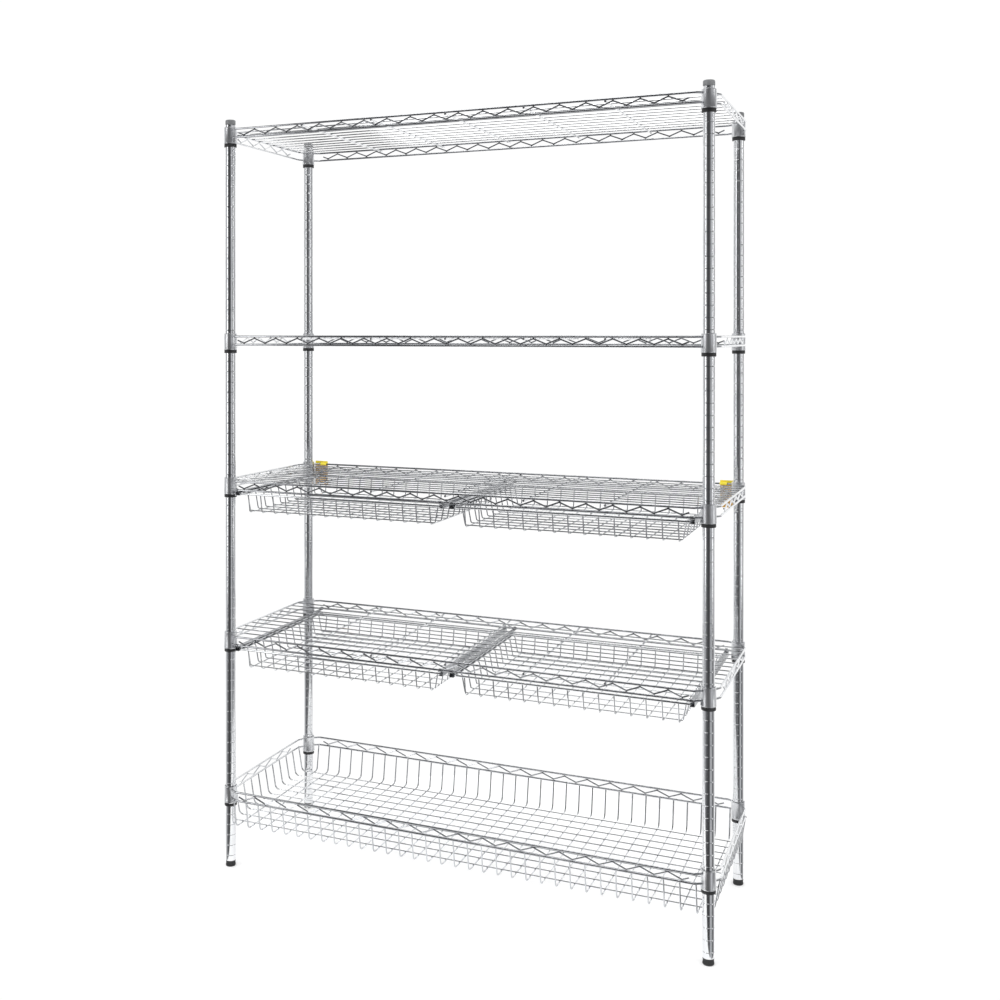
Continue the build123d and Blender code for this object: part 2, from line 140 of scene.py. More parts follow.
class Graph:
    """A node tree with one method that adds any node."""

    def __init__(self, tree: bpy.types.NodeTree) -> None:
        """Take over a tree and empty it.

        Args:
            tree: the node tree of a material or a world.
        """
        self.tree = tree
        tree.nodes.clear()

    def add(self, kind: str, inputs: dict[Union[str, int], object], **settings: object) -> bpy.types.Node:
        """Add a node, set it up and join its inputs.

        Args:
            kind: the node's type, without its ShaderNode prefix.
            inputs: values or links, by socket name or number.
            settings: the node's own settings, set before its sockets.

        Returns:
            The new node.
        """
        node = self.tree.nodes.new("ShaderNode" + kind)
        for name, value in settings.items():
            if name == "stops":
                self._set_stops(node, value)
            else:
                setattr(node, name, value)
        for key, value in inputs.items():
            socket = node.inputs[key]
            if isinstance(value, Wire):
                value = value.socket
            if isinstance(value, bpy.types.NodeSocket):
                self.tree.links.new(value, socket)
            else:
                socket.default_value = value
        return node

    @staticmethod
    def _set_stops(node: bpy.types.Node, stops: Sequence[tuple[float, Colour]]) -> None:
        """Give a colour ramp its stops.

        Args:
            node: the ramp node.
            stops: place and colour of each stop.
        """
        ramp = node.color_ramp
        for index, (place, colour) in enumerate(stops):
            stop = ramp.elements[index] if index < 2 else ramp.elements.new(place)
            stop.position = place
            stop.color = colour

    def value(self, kind: str, inputs: dict[Union[str, int], object], output: Union[str, int] = 0,
              **settings: object) -> Wire:
        """Add a node and take one of its outputs as a value.

        Args:
            kind: the node's type.
            inputs: values or links, by socket name or number.
            output: the output's name or number.
            settings: the node's own settings.

        Returns:
            The output, ready for maths.
        """
        return Wire(self.tree, self.add(kind, inputs, **settings).outputs[output])

    def place(self) -> bpy.types.NodeSocket:
        """The point's place in the rack, in metres.

        Returns:
            The place, as a socket.
        """
        return self.add("TexCoord", {}).outputs["Object"]

    def stretched(self, scale: Point) -> bpy.types.NodeSocket:
        """The point's place with each axis scaled.

        Args:
            scale: factor along X, Y and Z.

        Returns:
            The scaled place.
        """
        return self.add("Mapping", {"Vector": self.place(), "Scale": scale}).outputs[0]

    def noise(self, scale: float, detail: float, stretch: Point = (1.0, 1.0, 1.0)) -> Wire:
        """Soft noise.

        Args:
            scale: waves in each metre.
            detail: how many finer layers are laid over it.
            stretch: factor along each axis.

        Returns:
            A value from nought to one.
        """
        inputs = {"Vector": self.stretched(stretch), "Scale": scale, "Detail": detail, "Roughness": 0.6}
        return self.value("TexNoise", inputs, "Fac")

    def ranged(self, value: Wire, source: tuple[float, float], target: tuple[float, float]) -> Wire:
        """A value moved from one range to another, held at the ends.

        Args:
            value: the value.
            source: the range that it comes from.
            target: the range that it goes to.

        Returns:
            The moved value.
        """
        inputs = {"Value": value, "From Min": source[0], "From Max": source[1],
                  "To Min": target[0], "To Max": target[1]}
        return self.value("MapRange", inputs, "Result", clamp=True)

    def mixed(self, share: Wire, first: object, second: object) -> bpy.types.NodeSocket:
        """Two colours mixed by a share.

        Args:
            share: how much of the second colour there is.
            first: colour or socket at a share of nought.
            second: colour or socket at a share of one.

        Returns:
            The mixed colour, as a socket.
        """
        node = self.add("Mix", {0: share, 6: first, 7: second}, data_type="RGBA")
        return node.outputs[2]


# ---- finishes ----
@dataclass(frozen=True)
class Chrome:
    """Bright plating over steel, with haze, fine dust and a faint drawn grain."""

    name: str
    bright: Colour = (0.88, 0.89, 0.90, 1.0)
    dull: Colour = (0.72, 0.73, 0.75, 1.0)
    smooth: float = 0.11
    hazy: float = 0.22
    grain: Point = (1.0, 1.0, 0.06)
    ripple: float = 0.04

    def build(self) -> bpy.types.Material:
        """Make the material.

        Returns:
            The new material.
        """
        material = bpy.data.materials.new(self.name)
        material.use_nodes = True
        graph = Graph(material.node_tree)
        cloud = graph.noise(9.0, 3.0)
        streak = graph.noise(420.0, 2.0, self.grain)
        specks = graph.ranged(graph.noise(900.0, 1.0), (0.68, 0.76), (0.0, 1.0))
        haze = graph.ranged(cloud * 0.7 + streak * 0.3, (0.38, 0.68), (0.0, 1.0))
        base = graph.mixed(haze, self.bright, self.dull)
        dusty = graph.mixed(specks * 0.35, base, (0.45, 0.44, 0.42, 1.0))
        rough = graph.ranged(haze + specks * 0.8, (0.0, 1.4), (self.smooth, self.hazy))
        bump = graph.add("Bump", {"Height": streak + specks * 0.5, "Strength": self.ripple, "Distance": 0.0004})
        shader = graph.add("BsdfPrincipled", {"Base Color": dusty, "Metallic": 1.0, "Roughness": rough,
                                              "Normal": bump.outputs[0]})
        graph.add("OutputMaterial", {"Surface": shader.outputs[0]})
        return material


@dataclass(frozen=True)
class Moulded:
    """Moulded plastic with a fine sparked grain, rubbed paler where it catches."""

    name: str
    colour: Colour
    worn: Colour
    rough: float = 0.5
    grain: float = 1400.0
    depth: float = 0.15
    coat: float = 0.0

    def build(self) -> bpy.types.Material:
        """Make the material.

        Returns:
            The new material.
        """
        material = bpy.data.materials.new(self.name)
        material.use_nodes = True
        graph = Graph(material.node_tree)
        cloud = graph.noise(60.0, 3.0)
        grit = graph.noise(self.grain, 2.0)
        wear = graph.ranged(cloud, (0.45, 0.75), (0.0, 1.0))
        base = graph.mixed(wear * 0.6 + grit * 0.2, self.colour, self.worn)
        rough = graph.ranged(grit * 0.5 + wear * 0.5, (0.2, 0.8), (self.rough - 0.12, self.rough + 0.12))
        bump = graph.add("Bump", {"Height": grit, "Strength": self.depth, "Distance": 0.0003})
        shader = graph.add("BsdfPrincipled", {"Base Color": base, "Roughness": rough, "Coat Weight": self.coat,
                                              "Normal": bump.outputs[0]})
        graph.add("OutputMaterial", {"Surface": shader.outputs[0]})
        return material


@dataclass(frozen=True)
class Amber:
    """Thin amber plastic sheet: bright yellow above a set height, darker honey-coloured and cloudy below."""

    name: str
    split_height: float
    bright: Colour = (0.90, 0.74, 0.04, 1.0)
    honey: Colour = (0.62, 0.28, 0.008, 1.0)

    def build(self) -> bpy.types.Material:
        """Make the material.

        Returns:
            The new material.
        """
        material = bpy.data.materials.new(self.name)
        material.use_nodes = True
        graph = Graph(material.node_tree)
        axes = graph.add("SeparateXYZ", {0: graph.place()})
        height = Wire(graph.tree, axes.outputs[2])
        # bright yellow above the set height, darker honey below it
        top_share = graph.ranged(height, (self.split_height - 0.0015, self.split_height + 0.0015), (0.0, 1.0))
        cloud = graph.noise(90.0, 3.0)
        scuffs = graph.ranged(graph.noise(700.0, 2.0, (1.0, 1.0, 0.15)), (0.6, 0.72), (0.0, 1.0))
        honey = graph.mixed(cloud, self.honey, (0.78, 0.46, 0.04, 1.0))
        base = graph.mixed(top_share, honey, self.bright)
        rough = graph.ranged(scuffs + cloud * 0.4, (0.0, 1.4), (0.3, 0.55))
        alpha = graph.ranged(top_share + scuffs * 0.1, (0.0, 1.0), (0.9, 1.0))
        shader = graph.add("BsdfPrincipled", {"Base Color": base, "Roughness": rough, "Alpha": alpha})
        graph.add("OutputMaterial", {"Surface": shader.outputs[0]})
        return material


@dataclass
class Finishes:
    """Every material of the rack, made once."""

    post: bpy.types.Material = field(init=False)
    wire: bpy.types.Material = field(init=False)
    edge: bpy.types.Material = field(init=False)
    sheet: bpy.types.Material = field(init=False)
    collar: bpy.types.Material = field(init=False)
    black: bpy.types.Material = field(init=False)
    grey: bpy.types.Material = field(init=False)
    amber: bpy.types.Material = field(init=False)

    def __post_init__(self) -> None:
        """Make the materials."""
        self.post = Chrome("post_chrome").build()
        self.wire = Chrome("wire_chrome", bright=(0.90, 0.91, 0.92, 1.0), dull=(0.74, 0.75, 0.77, 1.0),
                           smooth=0.08, hazy=0.2, grain=(1.0, 1.0, 1.0), ripple=0.05).build()
        # edge: a darker copy of the wire chrome, painted shade for the front and rear edge frames
        self.edge = Chrome("shaded_edge_chrome", bright=(0.66, 0.67, 0.69, 1.0), dull=(0.44, 0.45, 0.47, 1.0),
                           smooth=0.1, hazy=0.24, grain=(1.0, 1.0, 1.0), ripple=0.05).build()
        self.collar = Chrome("collar_chrome", bright=(0.88, 0.89, 0.90, 1.0), dull=(0.70, 0.71, 0.73, 1.0),
                             smooth=0.3, hazy=0.45, grain=(1.0, 1.0, 0.3)).build()
        self.sheet = Chrome("sheet_zinc", bright=(0.46, 0.47, 0.49, 1.0), dull=(0.28, 0.29, 0.30, 1.0),
                            smooth=0.2, hazy=0.42, grain=(1.0, 0.06, 1.0)).build()
        self.black = Moulded("black_plastic", (0.012, 0.012, 0.013, 1.0), (0.045, 0.045, 0.048, 1.0)).build()
        self.grey = Moulded("grey_plastic", (0.15, 0.154, 0.16, 1.0), (0.27, 0.275, 0.28, 1.0), rough=0.3).build()
        tag_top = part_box("label_holders")[1][2]
        self.amber = Amber("amber_plastic", tag_top - 0.011).build()


# ---- mesh building ----
def finish_mesh(mesh: bmesh.types.BMesh, name: str, material: bpy.types.Material, smooth: bool = True,
                sharp: float = 35.0) -> bpy.types.Object:
    """Close a bmesh into an object at the origin.

    Args:
        mesh: the shape, in the rack's frame.
        name: the object's name.
        material: its finish.
        smooth: whether its faces are shaded smooth.
        sharp: the angle in degrees past which an edge stays crisp.

    Returns:
        The new object.
    """
    bmesh.ops.remove_doubles(mesh, verts=mesh.verts, dist=1e-6)
    bmesh.ops.recalc_face_normals(mesh, faces=mesh.faces)
    for face in mesh.faces:
        face.smooth = smooth
    for edge in mesh.edges:
        if len(edge.link_faces) == 2:
            edge.smooth = edge.calc_face_angle(0.0) < math.radians(sharp)
    data = bpy.data.meshes.new(name)
    mesh.to_mesh(data)
    mesh.free()
    data.materials.append(material)
    piece = bpy.data.objects.new(name, data)
    bpy.context.scene.collection.objects.link(piece)
    return piece


def lathe(mesh: bmesh.types.BMesh, outline: Sequence[tuple[float, float]], centre: Point, steps: int,
          closed: bool = True) -> list[bmesh.types.BMVert]:
    """Spin an outline of (radius, height) about an upright axis.

    Args:
        mesh: the bmesh that takes the shape.
        outline: the points of the outline, in order.
        centre: where the axis meets height nought.
        steps: how many faces go round.
        closed: whether the outline's ends are joined.

    Returns:
        The vertices of the new shape.
    """
    before = set(mesh.verts)
    origin = Vector(centre)
    points = [mesh.verts.new(origin + Vector((radius, 0.0, height))) for radius, height in outline]
    edges = [mesh.edges.new(pair) for pair in zip(points, points[1:])]
    if closed:
        edges.append(mesh.edges.new((points[-1], points[0])))
    bmesh.ops.spin(mesh, geom=points + edges, cent=origin, axis=(0, 0, 1), angle=2 * math.pi,
                   steps=steps, use_merge=True, use_duplicate=False)
    return [vertex for vertex in mesh.verts if vertex not in before]


def copied(mesh: bmesh.types.BMesh, source: bmesh.types.BMesh, move: Matrix) -> None:
    """Add a moved copy of one bmesh to another.

    Args:
        mesh: the bmesh that grows.
        source: the shape that is copied.
        move: where the copy goes.
    """
    data = bpy.data.meshes.new("copy")
    source.to_mesh(data)
    data.transform(move)
    mesh.from_mesh(data)
    bpy.data.meshes.remove(data)


@dataclass(frozen=True)
class Rod:
    """A drawn round wire along straight runs, with a bend of one radius at each corner."""

    route: tuple[Point, ...]
    radius: float
    bend: float = 0.0
    sides: int = 10
    closed: bool = False
    arc_steps: int = 4

    def stations(self) -> list[tuple[Vector, Vector]]:
        """Where the wire's round section stands as it is drawn along.

        Returns:
            Place and heading of each section, in order.
        """
        places = [Vector(point) for point in self.route]
        first = (places[1] - places[0]).normalized()
        found = [] if self.closed else [(places[0], first)]
        corners = range(len(places)) if self.closed else range(1, len(places) - 1)
        for index in corners:
            corner = places[index]
            coming = (corner - places[index - 1]).normalized()
            going = (places[(index + 1) % len(places)] - corner).normalized()
            turn = coming.angle(going)
            reach = self.bend * math.tan(turn / 2)
            inward = (going - coming).normalized()
            middle = corner + inward * (self.bend / math.cos(turn / 2))
            start = (corner - coming * reach) - middle
            axis = coming.cross(going).normalized()
            for step in range(self.arc_steps + 1):
                swing = Matrix.Rotation(turn * step / self.arc_steps, 3, axis)
                found.append((middle + swing @ start, swing @ coming))
        if not self.closed:
            found.append((places[-1], (places[-1] - places[-2]).normalized()))
        return found

    def draw(self, mesh: bmesh.types.BMesh) -> None:
        """Draw the wire into a bmesh: one round section, extruded from station to station.

        Args:
            mesh: the bmesh that takes the wire.
        """
        stations = self.stations()
        place, heading = stations[0]
        stand = Matrix.Translation(place) @ heading.to_track_quat("Z", "Y").to_matrix().to_4x4()
        made = bmesh.ops.create_circle(mesh, cap_ends=False, segments=self.sides, radius=self.radius, matrix=stand)
        ring = made["verts"]
        edges = list(dict.fromkeys(edge for vertex in ring for edge in vertex.link_edges))
        first_edges = list(edges)
        following = stations[1:] + (stations[:1] if self.closed else [])
        for next_place, next_heading in following:
            grown = bmesh.ops.extrude_edge_only(mesh, edges=edges)["geom"]
            ring = [item for item in grown if isinstance(item, bmesh.types.BMVert)]
            edges = [item for item in grown if isinstance(item, bmesh.types.BMEdge)
                     and item.verts[0] in ring and item.verts[1] in ring]
            turn = heading.rotation_difference(next_heading).to_matrix().to_4x4()
            move = Matrix.Translation(next_place) @ turn @ Matrix.Translation(-place)
            bmesh.ops.transform(mesh, matrix=move, verts=ring)
            place, heading = next_place, next_heading
        if self.closed:
            ends = list(dict.fromkeys(vertex for edge in first_edges + edges for vertex in edge.verts))
            bmesh.ops.remove_doubles(mesh, verts=ends, dist=1e-5)
        else:
            bmesh.ops.holes_fill(mesh, edges=first_edges, sides=0)
            bmesh.ops.holes_fill(mesh, edges=edges, sides=0)


def weld(mesh: bmesh.types.BMesh, place: Point, size: Point) -> None:
    """Leave a small squashed bead of weld where two wires cross.

    Args:
        mesh: the bmesh that takes the bead.
        place: the bead's middle.
        size: its half sizes.
    """
    shape = Matrix.Translation(place) @ Matrix.Diagonal((*size, 1.0))
    bmesh.ops.create_icosphere(mesh, subdivisions=1, radius=1.0, matrix=shape)


def repeated(mesh: bmesh.types.BMesh, rod: Rod, places: Iterable[Point], turn: float = 0.0) -> None:
    """Draw one wire and set copies of it at several places.

    Args:
        mesh: the bmesh that takes them.
        rod: the wire.
        places: where each copy goes.
        turn: how far each copy is turned about the upright axis first, in degrees.
    """
    single = bmesh.new()
    rod.draw(single)
    for place in places:
        copied(mesh, single, Matrix.Translation(place) @ Matrix.Rotation(math.radians(turn), 4, "Z"))
    single.free()


def row(count: int, pitch: float) -> list[float]:
    """Evenly spaced places, centred on nought.

    Args:
        count: how many places.
        pitch: the distance from one to the next.

    Returns:
        The places, in order.
    """
    return [(index - (count - 1) / 2) * pitch for index in range(count)]


# ---- the rack's pieces ----
def level_z(level: Level) -> float:
    """Height of the lower edge of a level's split sleeves.

    Args:
        level: the level.

    Returns:
        The height above the floor.
    """
    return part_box(f"sleeves_{level.value}")[0][2]


def corner_place(corner: Corner) -> Vector:
    """Where a post's axis meets the floor.

    Args:
        corner: the post's corner.

    Returns:
        The place on the floor.
    """
    low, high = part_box(f"post_{corner.label}")
    return Vector(((low[0] + high[0]) / 2, (low[1] + high[1]) / 2, 0.0))


@dataclass
class Posts:
    """The four tube posts, with a rolled ring groove at every step."""

    finish: bpy.types.Material
    radius: float = 12.7 * MM
    wall: float = 1.2 * MM
    pitch: float = 25.4 * MM
    first: float = 28.0 * MM
    groove: float = 0.4 * MM
    half_width: float = 0.9 * MM
    count: int = 71
    steps: int = 40

    def outline(self, low: float, high: float) -> list[tuple[float, float]]:
        """The tube's outline, with each groove rounded in three steps.

        Args:
            low: height of the tube's lower end.
            high: height of its upper end.

        Returns:
            Points of (radius, height), in order.
        """
        lip = 0.3 * MM
        points = [(self.radius - self.wall, low), (self.radius - lip, low), (self.radius, low + lip)]
        shape = ((-1.0, 0.0), (-0.55, 0.55), (0.0, 1.0), (0.55, 0.55), (1.0, 0.0))
        for index in range(self.count):
            middle = self.first + index * self.pitch
            points += [(self.radius - self.groove * deep, middle + self.half_width * along)
                       for along, deep in shape]
        points += [(self.radius, high - lip), (self.radius - lip, high), (self.radius - self.wall, high)]
        return points

    def build(self) -> None:
        """Make the four posts in place of the plain ones."""
        for corner in Corner:
            node = f"post_{corner.label}"
            low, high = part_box(node)
            mesh = bmesh.new()
            lathe(mesh, self.outline(low[2], high[2]), corner_place(corner), self.steps)
            piece = finish_mesh(mesh, f"grooved_{node}", self.finish, sharp=18.0)
            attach(piece, "rack")
            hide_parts(node)
            LOG.info("post %s", corner.label)


@dataclass
class Caps:
    """The moulded cap on each post, with a shadow gap above the tube."""

    finish: bpy.types.Material
    steps: int = 40

    def build(self) -> None:
        """Make the four caps as one piece."""
        low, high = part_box("post_caps")
        top, seat = high[2], high[2] - 13.0 * MM
        points = [(0.0, top), (7.0 * MM, top), (10.2 * MM, top - 0.25 * MM), (11.6 * MM, top - 0.8 * MM),
                  (12.4 * MM, top - 1.8 * MM), (12.7 * MM, top - 3.2 * MM), (12.7 * MM, seat + 1.6 * MM),
                  (12.2 * MM, seat + 1.0 * MM), (11.9 * MM, seat + 0.5 * MM), (11.35 * MM, seat),
                  (11.35 * MM, low[2] + 1.0 * MM), (10.6 * MM, low[2]), (0.0, low[2])]
        mesh = bmesh.new()
        for corner in Corner:
            lathe(mesh, points, corner_place(corner), self.steps, closed=False)
        piece = finish_mesh(mesh, "post_cap_set", self.finish, sharp=50.0)
        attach(piece, "rack")
        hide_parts("post_caps")
        LOG.info("caps")


@dataclass
class Feet:
    """The levelling feet: a pad with a ribbed waist, and its stud."""

    finish: bpy.types.Material
    ribs: int = 24
    waist: float = 11.6 * MM
    stud: float = 4.0 * MM

    def build(self) -> None:
        """Make each foot, on its own body."""
        for corner in Corner:
            node = f"foot_{corner.label}"
            low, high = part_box(node)
            points = [(0.0, 0.0), (10.4 * MM, 0.0), (11.6 * MM, 0.4 * MM), (12.3 * MM, 1.5 * MM),
                      (12.3 * MM, 4.0 * MM), (self.waist, 4.7 * MM), (self.waist, 11.3 * MM), (12.3 * MM, 12.0 * MM),
                      (12.3 * MM, 13.4 * MM), (11.8 * MM, 14.0 * MM), (self.stud, 14.0 * MM),
                      (self.stud, high[2] - 0.8 * MM), (self.stud - 0.8 * MM, high[2]), (0.0, high[2])]
            mesh = bmesh.new()
            lathe(mesh, points, corner_place(corner), 2 * self.ribs, closed=False)
            self.rib(mesh, corner_place(corner))
            piece = finish_mesh(mesh, f"levelling_{node}", self.finish, sharp=28.0)
            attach(piece, node)
            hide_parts(node)
            LOG.info("foot %s", corner.label)

    def rib(self, mesh: bmesh.types.BMesh, centre: Vector) -> None:
        """Raise every other face of the waist into a grip rib.

        Args:
            mesh: the foot's bmesh.
            centre: where its axis meets the floor.
        """
        mesh.faces.ensure_lookup_table()
        waist = []
        for face in mesh.faces:
            middle = face.calc_center_median()
            away = (middle - centre).to_2d().length
            if 4.7 * MM < middle.z < 11.3 * MM and away > 10.0 * MM:
                angle = math.atan2(middle.y - centre.y, middle.x - centre.x)
                if round((angle / (2 * math.pi)) * 2 * self.ribs - 0.5) % 2 == 0:
                    waist.append(face)
        bmesh.ops.inset_individual(mesh, faces=waist, thickness=0.15 * MM, depth=0.45 * MM)


@dataclass
class Sleeves:
    """The split black sleeves: a ring below the collar, parted on two sides."""

    finish: bpy.types.Material
    steps: int = 36
    half_gap: float = 0.5 * MM

    def build(self) -> None:
        """Make each level's four sleeves as one piece."""
        for level in Level:
            node = f"sleeves_{level.value}"
            low = level_z(level)
            points = [(12.75, 0.0), (14.7, 0.0), (15.2, 0.4), (15.3, 1.0), (15.3, 7.2), (15.1, 8.0), (14.85, 8.15),
                      (14.0, 44.0), (12.75, 44.0)]
            mesh = bmesh.new()
            for corner in Corner:
                part = bmesh.new()
                lathe(part, [(radius * MM, height * MM) for radius, height in points], (0.0, 0.0, 0.0), self.steps)
                self.split(part)
                copied(mesh, part, Matrix.Translation(corner_place(corner) + Vector((0.0, 0.0, low))))
                part.free()
            piece = finish_mesh(mesh, f"split_{node}", self.finish, sharp=40.0)
            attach(piece, "rack")
            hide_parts(node)
            LOG.info("sleeves %s", level.value)

    def split(self, part: bmesh.types.BMesh) -> None:
        """Cut one sleeve into two halves with a narrow gap.

        Args:
            part: a whole sleeve about the upright axis.
        """
        for side in (-1.0, 1.0):
            geometry = list(part.verts) + list(part.edges) + list(part.faces)
            bmesh.ops.bisect_plane(part, geom=geometry, plane_co=(0.0, side * self.half_gap, 0.0),
                                   plane_no=(0.0, 1.0, 0.0), clear_inner=False, clear_outer=False)
        slit = [face for face in part.faces if abs(face.calc_center_median().y) < self.half_gap * 0.999]
        bmesh.ops.delete(part, geom=slit, context="FACES")
        bmesh.ops.holes_fill(part, edges=[edge for edge in part.edges if edge.is_boundary], sides=0)


@dataclass
class Collars:
    """The tapered corner collars, with rolled rims."""

    finish: bpy.types.Material
    steps: int = 40

    def build(self) -> None:
        """Make each level's four collars as one piece."""
        points = [(15.0, 8.2), (16.3, 8.2), (16.6, 8.6), (16.6, 10.4), (16.25, 11.2), (15.72, 46.2), (15.8, 46.9),
                  (15.75, 48.0), (15.4, 48.5), (14.2, 48.5), (13.95, 48.1), (14.9, 8.8)]
        for level in Level:
            node = f"collars_{level.value}"
            low = level_z(level)
            mesh = bmesh.new()
            for corner in Corner:
                centre = corner_place(corner)
                lathe(mesh, [(radius * MM, height * MM) for radius, height in points],
                      centre + Vector((0.0, 0.0, low)), self.steps)
            piece = finish_mesh(mesh, f"tapered_{node}", self.finish, sharp=45.0)
            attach(piece, "rack")
            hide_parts(node)
            LOG.info("collars %s", level.value)


@dataclass
class Frames:
    """The edge frames of every level: two edge wires with a zigzag welded between them."""

    # finish is the darker chrome copy, painted shade on the front and rear frames; end_finish is the plain wire
    # chrome of the left and right frames
    finish: bpy.types.Material
    end_finish: bpy.types.Material
    half_x: float = 583.0 * MM
    half_y: float = 200.0 * MM
    outside: float = 20.0 * MM
    inset: float = 26.0 * MM
    upper: float = 41.0 * MM
    lower: float = 20.6 * MM
    edge: float = 2.5 * MM
    lacing: float = 1.9 * MM
    pitch: float = 59.1 * MM
    depth: float = 68.0 * MM
    lean: float = 11.0 * MM
    foot: float = 12.0 * MM
    hanging: float = 1.75 * MM

    def edge_wire(self, half: float, offset: float, height: float) -> Rod:
        """One edge wire, bent in to the collars at its ends.

        Args:
            half: half the distance between its two posts.
            offset: how far it stands from the middle of the rack.
            height: its height above the sleeve's lower edge.

        Returns:
            The wire.
        """
        reach = (17.35 * MM - (height - 8.2 * MM) * 0.02) / math.sqrt(2)
        end, depth, turn = half - reach, offset - self.outside + reach, half - self.inset
        return Rod(((-end, -depth, height), (-turn, -offset, height), (turn, -offset, height),
                    (end, -depth, height)), self.edge, 8.0 * MM, sides=12)

    def zigzag(self, bays: int, offset: float) -> Rod:
        """The lacing wire, with a short free tail at each end.

        Args:
            bays: how many zigzags there are each side of its middle.
            offset: how far it stands from the middle of the rack.

        Returns:
            The wire.
        """
        reach = self.edge + self.lacing + 0.05 * MM
        low, high, half = self.lower + reach, self.upper - reach, self.pitch / 2
        outer = bays * self.pitch
        middle = (low + high) / 2
        points = [(-outer - half / 2, -offset, middle)]
        points += [(-outer + step * half, -offset, high if step % 2 else low) for step in range(4 * bays + 1)]
        points.append((outer + half / 2, -offset, middle))
        return Rod(tuple(points), self.lacing, 3.0 * MM, sides=8, arc_steps=3)

    def side(self, half: float, offset: float, bays: int) -> bmesh.types.BMesh:
        """One side of a level as seen from the front, about the sleeve's lower edge.

        Args:
            half: half the distance between its two posts.
            offset: how far it stands from the middle of the rack.
            bays: how many zigzags there are each side of its middle.

        Returns:
            The new bmesh.
        """
        mesh = bmesh.new()
        for rod in (self.edge_wire(half, offset, self.upper), self.edge_wire(half, offset, self.lower),
                    self.zigzag(bays, offset)):
            rod.draw(mesh)
        for step in range(4 * bays + 1):
            height = self.upper - self.edge if step % 2 else self.lower + self.edge
            place = (-bays * self.pitch + step * self.pitch / 2, -offset, height)
            weld(mesh, place, (2.6 * MM, 1.3 * MM, 0.8 * MM))
        return mesh

    def hang(self, mesh: bmesh.types.BMesh, offset: float, raise_by: float, places: Sequence[float]) -> None:
        """Hang the upright wires of the bottom basket from a side's lower edge wire.

        Args:
            mesh: the side's bmesh.
            offset: how far the side stands from the middle.
            raise_by: how far the wires' feet are raised.
            places: where along the side each wire hangs.
        """
        floor = self.lower - self.depth + raise_by
        inner = -offset + self.lean
        rod = Rod(((0.0, -offset, self.lower), (0.0, inner, floor), (0.0, inner + self.foot, floor)),
                  self.hanging, 12.0 * MM * 0.98, sides=8)
        repeated(mesh, rod, [(place, 0.0, 0.0) for place in places])
        for place in places:
            weld(mesh, (place, -offset, self.lower), (2.1 * MM, 2.9 * MM, 2.9 * MM))

    def build(self) -> None:
        """Make the twenty edge frames."""
        far_y, far_x = self.half_y + self.outside, self.half_x + self.outside
        for level in Level:
            lift = Matrix.Translation((0.0, 0.0, level_z(level)))
            front, right = self.side(self.half_x, far_y, 9), self.side(self.half_y, far_x, 2)
            if level is Level.BOTTOM:
                self.hang(front, far_y, 0.0, row(34, 34.0 * MM))
                self.hang(right, far_x, 2 * self.hanging + 0.05 * MM, row(11, 36.0 * MM))
            quarter = Matrix.Rotation(math.pi / 2, 4, "Z")
            sides = (("front", front, lift), ("rear", front, lift @ Matrix.Scale(-1.0, 4, (0, 1, 0))),
                     ("right", right, lift @ quarter),
                     ("left", right, lift @ Matrix.Scale(-1.0, 4, (1, 0, 0)) @ quarter))
            for name, source, move in sides:
                node = f"frame_{name}_{level.value}"
                mesh = bmesh.new()
                copied(mesh, source, move)
                # the front and rear frames take the darker copy as painted shade; the left and right frames take the
                # plain wire chrome
                finish = self.finish if source is front else self.end_finish
                install(mesh, f"edge_{node}", finish, "rack", node)
            front.free()
            right.free()


@dataclass
class Decks:
    """The wire decks of the four shelves."""

    finish: bpy.types.Material
    cross_x: tuple[float, ...] = (-369.0 * MM, -186.0 * MM, 0.0, 186.0 * MM, 369.0 * MM)
    count: int = 11
    pitch: float = 35.0 * MM
    cross: float = 2.5 * MM
    along: float = 1.6 * MM
    cross_height: float = 35.95 * MM

    def build(self) -> None:
        """Make the four decks."""
        for level in (Level.TOP, Level.UPPER, Level.MIDDLE, Level.LOWER):
            node = f"deck_{level.value}"
            low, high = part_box(node)
            base = level_z(level)
            mesh = bmesh.new()
            height = base + self.cross_height
            top = height + self.cross + self.along - 0.2 * MM
            repeated(mesh, Rod(((0.0, low[1], height), (0.0, high[1], height)), self.cross, sides=12),
                     [(x, 0.0, 0.0) for x in self.cross_x])
            repeated(mesh, Rod(((low[0], 0.0, top), (high[0], 0.0, top)), self.along, sides=10),
                     [(0.0, y, 0.0) for y in row(self.count, self.pitch)])
            for x in self.cross_x:
                for y in row(self.count, self.pitch):
                    weld(mesh, (x, y, top - self.along), (2.2 * MM, 1.9 * MM, 0.9 * MM))
            install(mesh, f"welded_{node}", self.finish, "rack", node)


@dataclass
class BottomFloor:
    """The floor grid of the fixed bottom basket."""

    finish: bpy.types.Material
    wire: float = 1.75 * MM

    def build(self) -> None:
        """Make the grid: cross wires below, long wires on them."""
        low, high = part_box("basket_floor_bottom")
        mesh = bmesh.new()
        cross = low[2] + self.wire
        along = cross + 2 * self.wire
        repeated(mesh, Rod(((0.0, low[1], cross), (0.0, high[1], cross)), self.wire, sides=8),
                 [(x, 0.0, 0.0) for x in row(34, 34.0 * MM)])
        repeated(mesh, Rod(((low[0], 0.0, along), (high[0], 0.0, along)), self.wire, sides=8),
                 [(0.0, y, 0.0) for y in row(11, 36.0 * MM)])
        install(mesh, "welded_basket_floor", self.finish, "rack", "basket_floor_bottom")


